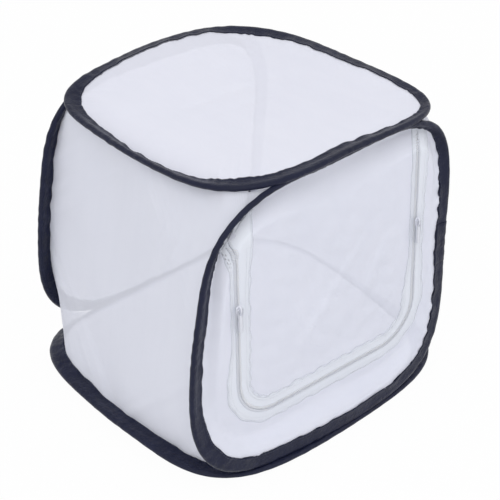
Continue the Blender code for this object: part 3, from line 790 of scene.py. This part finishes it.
def u_path(pitch, shift, below):
    """The zip's path: down the left leg, round the two corners and up the right. shift is outwards, from the
    slit, and below is how far under the binding's lip the legs end. Each row holds x, z, the way outwards and
    the x that the leg would have if the door didn't slope back."""
    half, low, rnd = ZIP_HALF, ZIP_LOW, ZIP_ROUND
    turn = int(round(rnd * math.pi / 2 / pitch))
    flat = int(round(2 * (half - rnd) / pitch))

    def leg(side):
        return [(side * half, z, side, 0)
                for z in np.arange(leg_top(ZIP_X + side * half, below), low + rnd, -pitch)]

    def corner(side, start):
        return [(side * (half - rnd) + rnd * math.cos(a), low + rnd + rnd * math.sin(a), math.cos(a), math.sin(a))
                for a in start + np.arange(turn + 1) / turn * math.pi / 2]

    bottom = [(-half + rnd + k / flat * 2 * (half - rnd), low, 0, -1) for k in range(1, flat)]
    m = np.array(leg(-1) + corner(-1, math.pi) + bottom + corner(1, 1.5 * math.pi) + leg(1)[::-1])
    m[:, 0] += m[:, 2] * shift
    m[:, 1] += m[:, 3] * shift
    upright = m[:, :1] + ZIP_X
    m[:, 0] = lean(upright[:, 0], m[:, 1])
    return np.concatenate([m, upright], 1)


def outer_net():
    """The door's net outside the zip, from the zip and the line across its top out to the binding."""
    path = u_path(.0035, NET_BACK, .004)[:, :2]
    across = np.linspace(path[-1, 0], path[0, 0], 64)[1:-1]
    line = np.concatenate([path, np.stack([across, door_top(across)], 1)])
    t = door_polar(line[:, 0], line[:, 1])[0]
    off, push = ruffle("front", t, np.full_like(t, NET_IN))
    hold = FRONT.at(t + round_lip(t, LIP_T - LIP_ANGLE), NET_IN + push, off)[:, None]
    steps = np.linspace(0, 1, 19) ** .9
    x = line[:, None, 0] + (hold[..., 0] - line[:, None, 0]) * steps
    z = line[:, None, 1] + (hold[..., 2] - line[:, None, 1]) * steps
    near_lip = ease((steps - .55) / .45)
    y = door_y(x, z) * (1 - near_lip) + hold[..., 1] * near_lip
    beyond_tape = ease((np.hypot(x - x[:, :1], z - z[:, :1]) - .009) / .012)
    y = y - door_soft(x, z) * (1 - steps ** 4) * held(beyond_tape)
    thing = piece("front_net_panel", np.stack([x, y, z], -1), grid_faces(len(line), len(steps), True, False),
                  np.stack([x, z], -1), NET_DOOR, "net")
    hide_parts("front_net")
    press(thing, "front")


def inner_net():
    """The net inside the zip. Below the sliders it is the flap."""
    cols, rows = 76, 78
    half, low, rnd = ZIP_HALF - NET_BACK, ZIP_LOW + NET_BACK, ZIP_ROUND - NET_BACK
    bend = np.linspace(FOLD_Z - .008, FOLD_Z + .008, 9)
    z = np.unique(np.concatenate([np.linspace(low, ZIP_TOP, rows + 1), bend, [SPLIT_Z - 1e-6]]))
    drop = np.clip((low + rnd - z) / rnd, 0, 1)
    reach = half - rnd + rnd * np.sqrt(np.clip(1 - drop ** 2, 0, 1))
    k = np.linspace(-1, 1, cols + 1)[:, None]
    x = lean(k * reach + ZIP_X, np.broadcast_to(z, (cols + 1, len(z))))
    zz = z + (door_top(x) - ZIP_TOP) * ease((z - SLOPE_Z) / (ZIP_TOP - SLOPE_Z))
    free = ease(((1 - np.abs(k)) * reach - .008) / .014) * ease((zz - low - .008) / .014)
    free = free * ease((door_top(x) - zz) / .012)
    y = door_y(x, zz) - door_soft(x, zz) * held(free)
    flap = piece("door_net_flap", np.stack([x, y, zz], -1), grid_faces(cols + 1, len(z)),
                 np.stack([x, zz], -1), NET_DOOR, "net")
    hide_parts("door_flap")
    upper = above_fold(flap, "door_net_upper")
    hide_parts("front_net")
    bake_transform(flap)


def above_fold(thing, name):
    """Splits off what stays on the door when the flap opens, and puts it on the door's body."""
    high = np.array([v.co.z for v in thing.data.vertices]) > SPLIT_Z
    upper_faces = np.array([all(high[i] for i in f.vertices) for f in thing.data.polygons])
    upper = link(name, thing.data.copy())
    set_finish(upper, thing["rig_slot"])
    for part, unwanted in ((thing, upper_faces), (upper, ~upper_faces)):
        work = bmesh.new()
        work.from_mesh(part.data)
        work.faces.ensure_lookup_table()
        bmesh.ops.delete(work, geom=[work.faces[i] for i in np.flatnonzero(unwanted)], context="FACES")
        work.to_mesh(part.data)
        work.free()
    press(upper, "front")
    return upper


def spread(x, z, side):
    """How wide the relaxed tape lies: its half on the left of each leg is gathered, the right one spread."""
    leg = ease((z - ZIP_LOW - ZIP_ROUND) / .05)
    towards = np.sign(x - ZIP_X) * side
    upper = ease((z - .185) / .06)
    wide = np.where(x < ZIP_X, .10 + .35 * upper, -.15 + .20 * upper)
    return 1 + leg * np.where(towards > 0, wide, -.50)


def tuck(x, z):
    """Share of its height that something on the net keeps near the binding, whose layers it ends between."""
    t, share = door_polar(x, z)
    return ease((round_lip(t, LIP_SHARE) - share) / .03)


def frill_share(reach):
    """How free the tape is to pucker, this far from the slit."""
    return ease((reach - .005) / .008)


def frill_lift(turn, reach, side):
    """How far the tape's puckered edge lifts off the net."""
    return frill_share(reach) * (.00010 * waves(turn, 67 + side, 16, 44))


def along_tape(pitch):
    """The zip's path, its direction, and the numbers of its points that lie clear of the binding."""
    m = u_path(pitch, 0, .002)
    clear = tuck(m[:, 0], m[:, 1]) > .9
    return m, unit(np.gradient(m[:, :2], axis=0)), [i for i in range(1, len(m) - 1) if clear[i]]


def tape(name, side, nodes):
    """Half of the zip's tape, with puckered edges. side is 1 outside the slit and -1 inside it."""
    columns = np.array([.0002, .0016, .0032, .0050, .0068, .0088, .0108, .0124, .0135])
    m = u_path(.0016, 0, -.0008)
    run = run_along(m[:, :2])
    turn = (run / run[-1] * TAU)[:, None]
    reach = columns + frill_share(columns) * (.0009 * waves(turn, 61 + side, 14, 40))
    reach = reach * spread(m[:, :1], m[:, 1:2], side)
    upright = m[:, 4:] + side * m[:, 2:3] * reach
    level = m[:, 1:2] + side * m[:, 3:4] * reach
    end = lip_above(m[:, :1])
    x = upright
    for _ in range(5):
        z = level + (lip_above(x) - end) * ease((level - end + .03) / .03)
        x = lean(upright, z)
    x, z = within(x, z, -.003)
    thin = ease((columns - .0108) / .0027)
    lift = .00020 - .00006 * thin + np.maximum(frill_lift(turn, columns, side), 0)
    y = door_y(x, z) - lift * tuck(x, z)
    thickness = .00024 - .00020 * thin
    section = np.concatenate([np.stack([x, y, z], -1), np.stack([x, y - thickness, z], -1)[:, ::-1]], 1)
    thing = piece(name, section, bar_faces(len(m), section.shape[1]),
                  strip_uvs(run, np.concatenate([columns, columns[::-1] + TAPE_BACK_UV])), ZIP_CLOTH, "zip_tape")
    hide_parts(*nodes)
    return thing


def teeth(name, side, nodes):
    """Half of the zip's nylon coil: one small arch a turn."""
    pitch, radius, sides = .0014, .00048, 5
    m, along, clear = along_tape(pitch)
    points, faces, uvs = [], [], []
    # How far from the slit and in front of the door the middle of each arch's thread lies
    shape = np.array([(.0026, .0006), (.0017, .0011), (.0009, .0012), (.0005, .0009), (.0009, .0005)])
    for i in clear:
        base = len(points)
        x0, z0 = m[i, 0] - along[i, 0] * .0002 * side, m[i, 1] - along[i, 1] * .0002 * side
        out = np.array([side * m[i, 2], side * m[i, 3]])
        for j, (s, d) in enumerate(shape):
            nxt, prv = shape[min(j + 1, len(shape) - 1)], shape[max(j - 1, 0)]
            ds, dd = nxt - prv
            length = math.hypot(ds, dd)
            for k in range(sides):
                a = k * TAU / sides
                n1, n2 = radius * math.cos(a), radius * math.sin(a)
                s1, d1 = s - dd / length * n1, d + ds / length * n1
                x, z = x0 + out[0] * s1 + along[i, 0] * n2, z0 + out[1] * s1 + along[i, 1] * n2
                points.append((x, d1, z))
                uvs.append((i * pitch, j * .001))
        faces.extend(bar_faces(len(shape), sides, base, [0, 3, 2, 1]))
    p = np.array(points)
    p[:, 1] = door_y(p[:, 0], p[:, 2]) - p[:, 1]
    thing = piece(name, p, faces, uvs, COIL, "zip_coil")
    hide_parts(*nodes)
    return thing


def seam(name, side):
    """Two rows of stitches that hold the zip's tape to the net."""
    m, along, clear = along_tape(.0030)
    turn = np.arange(len(m)) / len(m) * TAU
    points, faces, uvs = [], [], []
    wide = spread(m[:, 0], m[:, 1], side)
    size = .001
    stitch = ((-1.1, 0, 0), (-.5, -.2, .12), (-.5, .2, .12), (.5, -.2, .12), (.5, .2, .12), (1.1, 0, 0))
    for row in (.0088, .0112):
        for i in clear:
            base = len(points)
            for a, s, d in stitch:
                r = row * wide[i] + s * size
                points.append((m[i, 4] + side * m[i, 2] * r + along[i, 0] * a * size, d,
                               m[i, 1] + side * m[i, 3] * r + along[i, 1] * a * size, turn[i], row))
                uvs.append((a * size, s * size))
            faces += [(base, base + 1, base + 2), (base + 1, base + 3, base + 4, base + 2),
                      (base + 5, base + 4, base + 3), (base, base + 2, base + 4, base + 5),
                      (base, base + 5, base + 3, base + 1)]
    p = np.array(points)
    lift = frill_lift(p[:, 3], p[:, 4], side) + .00003
    x, z = within(lean(p[:, 0], p[:, 2]), p[:, 2], .006)
    y = door_y(x, z) - (.00046 + np.maximum(lift, 0)) * tuck(x, z) - p[:, 1] * size
    return piece(name, np.stack([x, y, z], 1), faces, uvs, WHITE_THREAD, "zip_tape")


def bend_below(thing, upper_name, *upper_nodes):
    """What lies inside the slit is split in two, and the part above the split rides on the door's body."""
    upper = above_fold(thing, upper_name)
    if upper_nodes:
        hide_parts(*upper_nodes)
    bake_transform(thing)


outer_net()
inner_net()
press(tape("zip_tape_outer", 1, ("zip_tape_frame",)), "front")
press(teeth("zip_teeth_outer", 1, ("zip_coil_frame",)), "front")
press(seam("zip_seam_outer", 1), "front")
bend_below(tape("zip_tape_inner", -1, ("zip_tape_flap",)), "zip_tape_upper",
           "zip_tape_left_upper", "zip_tape_right_upper")
bend_below(teeth("zip_teeth_inner", -1, ("zip_coil_flap",)), "zip_teeth_upper",
           "zip_coil_left_upper", "zip_coil_right_upper")
bend_below(seam("zip_seam_inner", -1), "zip_seam_upper")

# Sliders and pulls

SLIDER_Z = .182  # the height of the sliders' middles
PULL_Z = .1835  # the height of the pulls' hinges
PULL_DEPTH = .00505  # how far in front of the door the pulls hang


def rounded(outline, depth_low, depth_high, bevel, x0, z0):
    """A plate with a bevelled rim: outline in x and z, from one depth in front of the door to another."""
    o = np.array(outline)
    inward = unit(o - (o.max(0) + o.min(0)) / 2)
    rings = [(o - inward * bevel, depth_low), (o, depth_low + bevel), (o, depth_high - bevel),
             (o - inward * bevel, depth_high)]
    return np.concatenate([flat_ring(r, d, x0, z0) for r, d in rings])


def flat_ring(outline, depth, x0, z0):
    return np.stack([outline[:, 0] + x0, np.full(len(outline), DOOR_Y - depth), outline[:, 1] + z0], 1)


def circle_angles(count):
    return np.linspace(0, TAU, count, endpoint=False)


def slider(side_name, sign):
    """The slider: two plates with flared shoulders, a post between them and a bridge for the pull."""
    x0, z0 = sign * ZIP_HALF + ZIP_X, SLIDER_Z
    half_x, half_z = .0037, .0045
    body = []
    for v in circle_angles(36):
        c, s = math.cos(v), math.sin(v)
        k = (abs(c) ** 3 + abs(s) ** 3) ** (-1 / 3)
        z = half_z * k * s
        waist = 1 - .16 * ease(np.array(-z / half_z)) - .10 * float(np.exp(-((z - .001) / .0016) ** 2))
        body.append((half_x * k * c * float(waist), z))
    post = [(.0003 * math.cos(v), .0012 * math.sin(v) + .0022) for v in circle_angles(12)]
    points, faces = [], []
    for outline, low, high, bevel in ((body, .00325, .00405, .00025), (body, -.00055, .00025, .0002),
                                      (post, .0001, .0034, .00005)):
        base = sum(len(q) for q in points)
        count = len(outline)
        points.append(rounded(outline, low, high, bevel, x0, z0))
        faces.extend([tuple(f + base) for f in grid_faces(4, count, False, True)])
        faces.extend([cap(base, count), cap(base + 3 * count, count)[::-1]])
    foot, rise, half, wide, thick, sides = .0040, .0023, .0036, .0008 * 1.05, .00035 * 1.05, 8
    arch = np.linspace(0, math.pi, 13)
    out = DOOR_Y - foot - rise * np.sin(arch) ** .7
    path = np.stack([np.full(len(arch), x0), out, z0 + half * np.cos(arch)], 1)
    loops = []
    for p, d in zip(path, unit(np.gradient(path, axis=0))):
        n = np.array([0, -d[2], d[1]])
        n *= -np.sign(n[1]) if abs(n[1]) > 1e-6 else 1
        for k in range(sides):
            v = (k + .5) * TAU / sides
            loops.append(p + np.array([1, 0, 0]) * wide * math.cos(v) + n * thick * math.sin(v))
    faces.extend(bar_faces(len(path), sides, sum(len(q) for q in points)))
    p = np.concatenate(points + [np.array(loops)])
    uvs = p[:, [0, 2]] - np.array([x0, z0])
    thing = piece("zip_slider_body_" + side_name, p, faces, uvs, LACQUER, "slider")
    edge = thing.modifiers.new("soft_edge", "BEVEL")
    edge.width, edge.segments, edge.limit_method, edge.angle_limit = .00012, 2, "ANGLE", math.radians(40)
    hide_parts("zip_slider_" + side_name)
    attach(thing, "slider_" + side_name)


PULL_TOP, PULL_LOW = .0005, -.0240  # the pull's ends, from its hinge


def pull_half_width(z):
    f = (z - PULL_LOW) / (PULL_TOP - PULL_LOW)
    shoulder = .0005 * float(ease(np.array((f - .55) / .25)))
    return .0025 + shoulder - .0004 * float(np.exp(-((f - .58) / .09) ** 2))


def tab_outline(z_top, z_low, shrink, round_top, round_low):
    """A tab's outline: its rounded top, down its left side, its rounded tail and up its right side."""
    sides = np.linspace(z_top - round_top, z_low + round_low, 14)[1:-1]
    half_turn = math.pi * np.arange(20) / 19
    points = []
    for z, curve, turn, way, side in ((z_top - round_top, round_top, half_turn, -1, sides),
                                      (z_low + round_low, round_low, half_turn + math.pi, 1, sides[::-1])):
        w = pull_half_width(z) - shrink
        points += [(w * math.cos(v), z + curve * math.sin(v)) for v in turn]
        points += [(way * (pull_half_width(y) - shrink), y) for y in side]
    return np.array(points)


def pull(side_name, sign):
    """The pull: a flat tab with a window at the bridge, a waist and a rounded tail."""
    x0, z0 = sign * ZIP_HALF + ZIP_X, PULL_Z
    tab = tab_outline(PULL_TOP, PULL_LOW, 0, .0012, .0024)
    window = tab_outline(PULL_TOP - .0010, PULL_TOP - .0072, .0014, .0006, .0006)
    rings = [(tab * [.93, 1], .0005), (tab, .00033), (tab, -.00033), (tab * [.93, 1], -.0005),
             (window, .0005), (window, -.0005)]
    points = np.concatenate([flat_ring(outline, PULL_DEPTH + depth, x0, z0) for outline, depth in rings])
    count = len(tab)
    faces = [tuple(f) for f in grid_faces(4, count, False, True)]
    back, hole, back_hole = 3 * count, 4 * count, 5 * count
    for k in range(count):
        n = (k + 1) % count
        faces.append((n, k, hole + k, hole + n))
        faces.append((back + k, back + n, back_hole + n, back_hole + k))
        faces.append((hole + n, hole + k, back_hole + k, back_hole + n))
    uvs = points[:, [0, 2]] - np.array([x0, z0])
    thing = piece("zip_pull_tab_" + side_name, points, faces, uvs, LACQUER, "pull")
    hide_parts("zip_pull_" + side_name)
    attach(thing, "pull_" + side_name)


for side_name, sign in (("left", -1), ("right", 1)):
    slider(side_name, sign)
    pull(side_name, sign)

# Floor, light and camera

FLOOR_HALF = 40
n = Nodes("studio_floor")
path = n.add("ShaderNodeLightPath")
seen = n.math("MAXIMUM", path.outputs["Is Camera Ray"],
              n.math("MAXIMUM", path.outputs["Is Glossy Ray"], path.outputs["Is Transmission Ray"]))
n.set(Base_Color=n.mix(n.noise(6.0, 2.0), (.86, .86, .87), (.84, .84, .85)), Roughness=.9)
glow = n.add("ShaderNodeEmission", {"Color": (1, 1, 1, 1), "Strength": 1.0})
mixed = n.add("ShaderNodeMixShader", {0: n.times(seen, .97), 1: n.shader.outputs[0], 2: glow.outputs[0]})
n.tree.links.new(mixed.outputs[0], n.tree.nodes["Material Output"].inputs[0])
floor_mesh = bpy.data.meshes.new("studio_floor")
corners = [(x * FLOOR_HALF, y * FLOOR_HALF, 0) for x, y in ((-1, -1), (1, -1), (1, 1), (-1, 1))]
floor_mesh.from_pydata(corners, [], [(0, 1, 2, 3)])
floor_mesh.materials.append(n.material)
link("studio_floor", floor_mesh)

world = bpy.data.worlds.new("studio_world")
bpy.context.scene.world = world
world.use_nodes = True
sky = world.node_tree
background = sky.nodes["Background"]
background.inputs["Color"].default_value = (1, 1, 1, 1)
background.inputs["Strength"].default_value = .82
rays = add_node(sky, "ShaderNodeLightPath").outputs
seen = add_node(sky, "ShaderNodeMath", {0: rays["Is Camera Ray"], 1: rays["Is Transmission Ray"]},
                operation="MAXIMUM")
white = add_node(sky, "ShaderNodeBackground", {"Color": (1, 1, 1, 1), "Strength": 1.0})
mixed = add_node(sky, "ShaderNodeMixShader", {0: seen.outputs[0], 1: background.outputs[0], 2: white.outputs[0]})
sky.links.new(mixed.outputs[0], sky.nodes["World Output"].inputs["Surface"])


def lamp(name, place, target, size, power):
    light = bpy.data.lights.new(name, "AREA")
    light.size, light.energy = size, power
    thing = link(name, light)
    thing.location = place
    way = np.array(target) - np.array(place)
    thing.rotation_mode = "QUATERNION"
    thing.rotation_quaternion = Vector(way).to_track_quat("-Z", "Y")


lamp("key_light", (-1.1, -.9, 1.9), (0, 0, .12), 1.3, 9.0)
lamp("fill_light", (1.5, -1.3, 1.2), (0, 0, .12), 1.4, 4.0)

camera = bpy.data.cameras.new("camera")
camera.sensor_width, camera.lens = 36.0, 111.515
camera.clip_start, camera.clip_end = .05, 100
eye = link("camera", camera)
right, up, ahead = (.762888, -.646223, -.019956), (.360155, .399136, .843196), (.536927, .650451, -.537236)
spot = (-.780548, -.97109, .91444)
eye.matrix_world = Matrix([(right[i], up[i], -ahead[i], spot[i]) for i in range(3)] + [(0, 0, 0, 1)])
bpy.context.scene.camera = eye
bpy.context.scene.view_settings.view_transform = "Standard"
